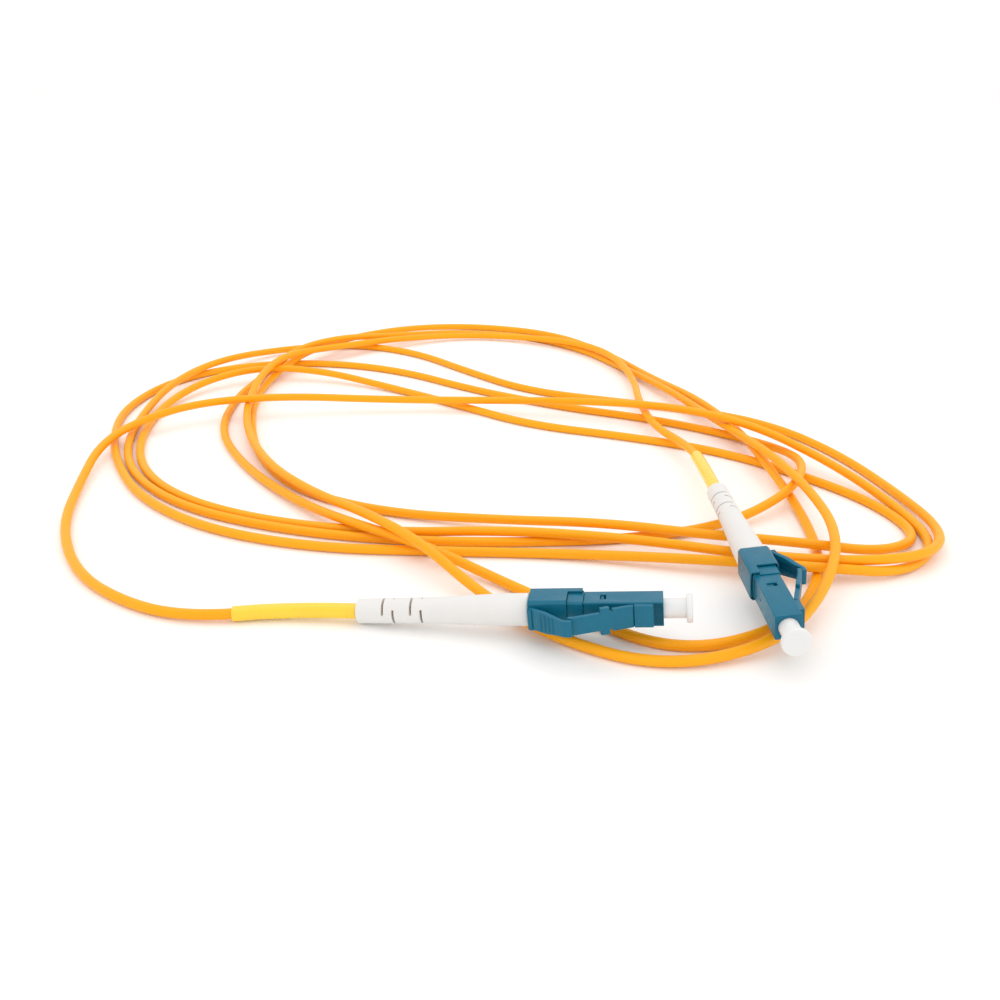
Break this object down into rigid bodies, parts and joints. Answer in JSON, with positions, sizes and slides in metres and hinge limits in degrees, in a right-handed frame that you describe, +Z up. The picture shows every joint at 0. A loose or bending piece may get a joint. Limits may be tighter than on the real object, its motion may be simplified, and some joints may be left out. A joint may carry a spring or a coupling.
{
  "type": "fiber optic patch cord",
  "caption": "Long thin optical cable in loose turns with a small latching plug, strain relief boot and dust cap on each end.",
  "frame": {"origin": "on the floor, under the middle of the box around the two connectors", "axes": "+Z up; +X along the length of connector A towards its front; +Y towards the far side of the loose turns"},
  "size_m": [0.1977, 0.2098, 0.0108],
  "materials": {
    "teal_plastic": "moulded, satin gloss",
    "zirconia": "polished",
    "nickel_flange": "nickel plated",
    "spring_steel": "drawn wire",
    "clear_tube": "natural",
    "white_buffer": "extruded",
    "aramid": "yarn",
    "crimp_metal": "crimped",
    "orange_jacket": "extruded, soft gloss",
    "white_boot": "moulded elastomer",
    "cap_plastic": "slightly translucent",
    "label_film": "heat-shrunk clear film over the jacket"
  },
  "bodies": {
    "root": {"plug_frame_a": "teal_plastic", "rear_body_a": "teal_plastic", "clip_a": "teal_plastic", "spring_a": "spring_steel", "buffered_fibre_a": "white_buffer", "aramid_yarn_a": "aramid", "crimp_ring_a": "crimp_metal", "jacket_end_a": "orange_jacket", "boot_a": "white_boot", "plug_frame_b": "teal_plastic", "rear_body_b": "teal_plastic", "clip_b": "teal_plastic", "spring_b": "spring_steel", "buffered_fibre_b": "white_buffer", "aramid_yarn_b": "aramid", "crimp_ring_b": "crimp_metal", "jacket_end_b": "orange_jacket", "boot_b": "white_boot", "cable": "orange_jacket", "label_sleeve_a": "label_film", "label_sleeve_b": "label_film"},
    "trigger_a": {"trigger_lever_a": "teal_plastic"},
    "latch_a": {"latch_arm_a": "teal_plastic"},
    "ferrule_a": {"ferrule_a": "zirconia", "ferrule_flange_a": "nickel_flange", "guide_tube_a": "clear_tube"},
    "cap_a": {"dust_cap_a": "cap_plastic"},
    "trigger_b": {"trigger_lever_b": "teal_plastic"},
    "latch_b": {"latch_arm_b": "teal_plastic"},
    "ferrule_b": {"ferrule_b": "zirconia", "ferrule_flange_b": "nickel_flange", "guide_tube_b": "clear_tube"},
    "cap_b": {"dust_cap_b": "cap_plastic"}
  },
  "joints": [
    {"name": "trigger_press_a", "type": "hinge", "parent": "root", "child": "trigger_a", "pos_m": [-0.00888, -0.01834, 0.00572], "axis": [-0.0853, 0.0952, 0.9918], "range_deg": [0, 10], "stiffness_Nm_per_rad": 0.02},
    {"name": "latch_flex_a", "type": "hinge", "parent": "root", "child": "latch_a", "pos_m": [0.00768, -0.02, 0.0073], "axis": [0.0853, -0.0952, -0.9918], "range_deg": [0, 7], "stiffness_Nm_per_rad": 0.03},
    {"name": "ferrule_float_a", "type": "slide", "parent": "root", "child": "ferrule_a", "axis": [-0.9855, 0.1384, -0.098], "range_m": [0, 0.0008], "stiffness_N_per_m": 1200, "deforming": ["spring_a"]},
    {"name": "cap_pull_a", "type": "slide", "parent": "root", "child": "cap_a", "axis": [0.9855, -0.1384, 0.098], "range_m": [0, 0.01]},
    {"name": "trigger_press_b", "type": "hinge", "parent": "root", "child": "trigger_b", "pos_m": [0.03577, -0.00241, 0.00798], "axis": [0.1109, -0.0164, -0.9937], "range_deg": [0, 10], "stiffness_Nm_per_rad": 0.02},
    {"name": "latch_flex_b", "type": "hinge", "parent": "root", "child": "latch_b", "pos_m": [0.03533, -0.01911, 0.00821], "axis": [-0.1109, 0.0164, 0.9937], "range_deg": [0, 7], "stiffness_Nm_per_rad": 0.03},
    {"name": "ferrule_float_b", "type": "slide", "parent": "root", "child": "ferrule_b", "axis": [-0.013, 0.9998, -0.018], "range_m": [0, 0.0008], "stiffness_N_per_m": 1200, "deforming": ["spring_b"]},
    {"name": "cap_pull_b", "type": "slide", "parent": "root", "child": "cap_b", "axis": [0.013, -0.9998, 0.018], "range_m": [0, 0.01]}
  ],
  "couplings": [
    {"joint": "latch_flex_a", "follows": "trigger_press_a", "ratio": 0.7},
    {"joint": "latch_flex_b", "follows": "trigger_press_b", "ratio": 0.7}
  ]
}
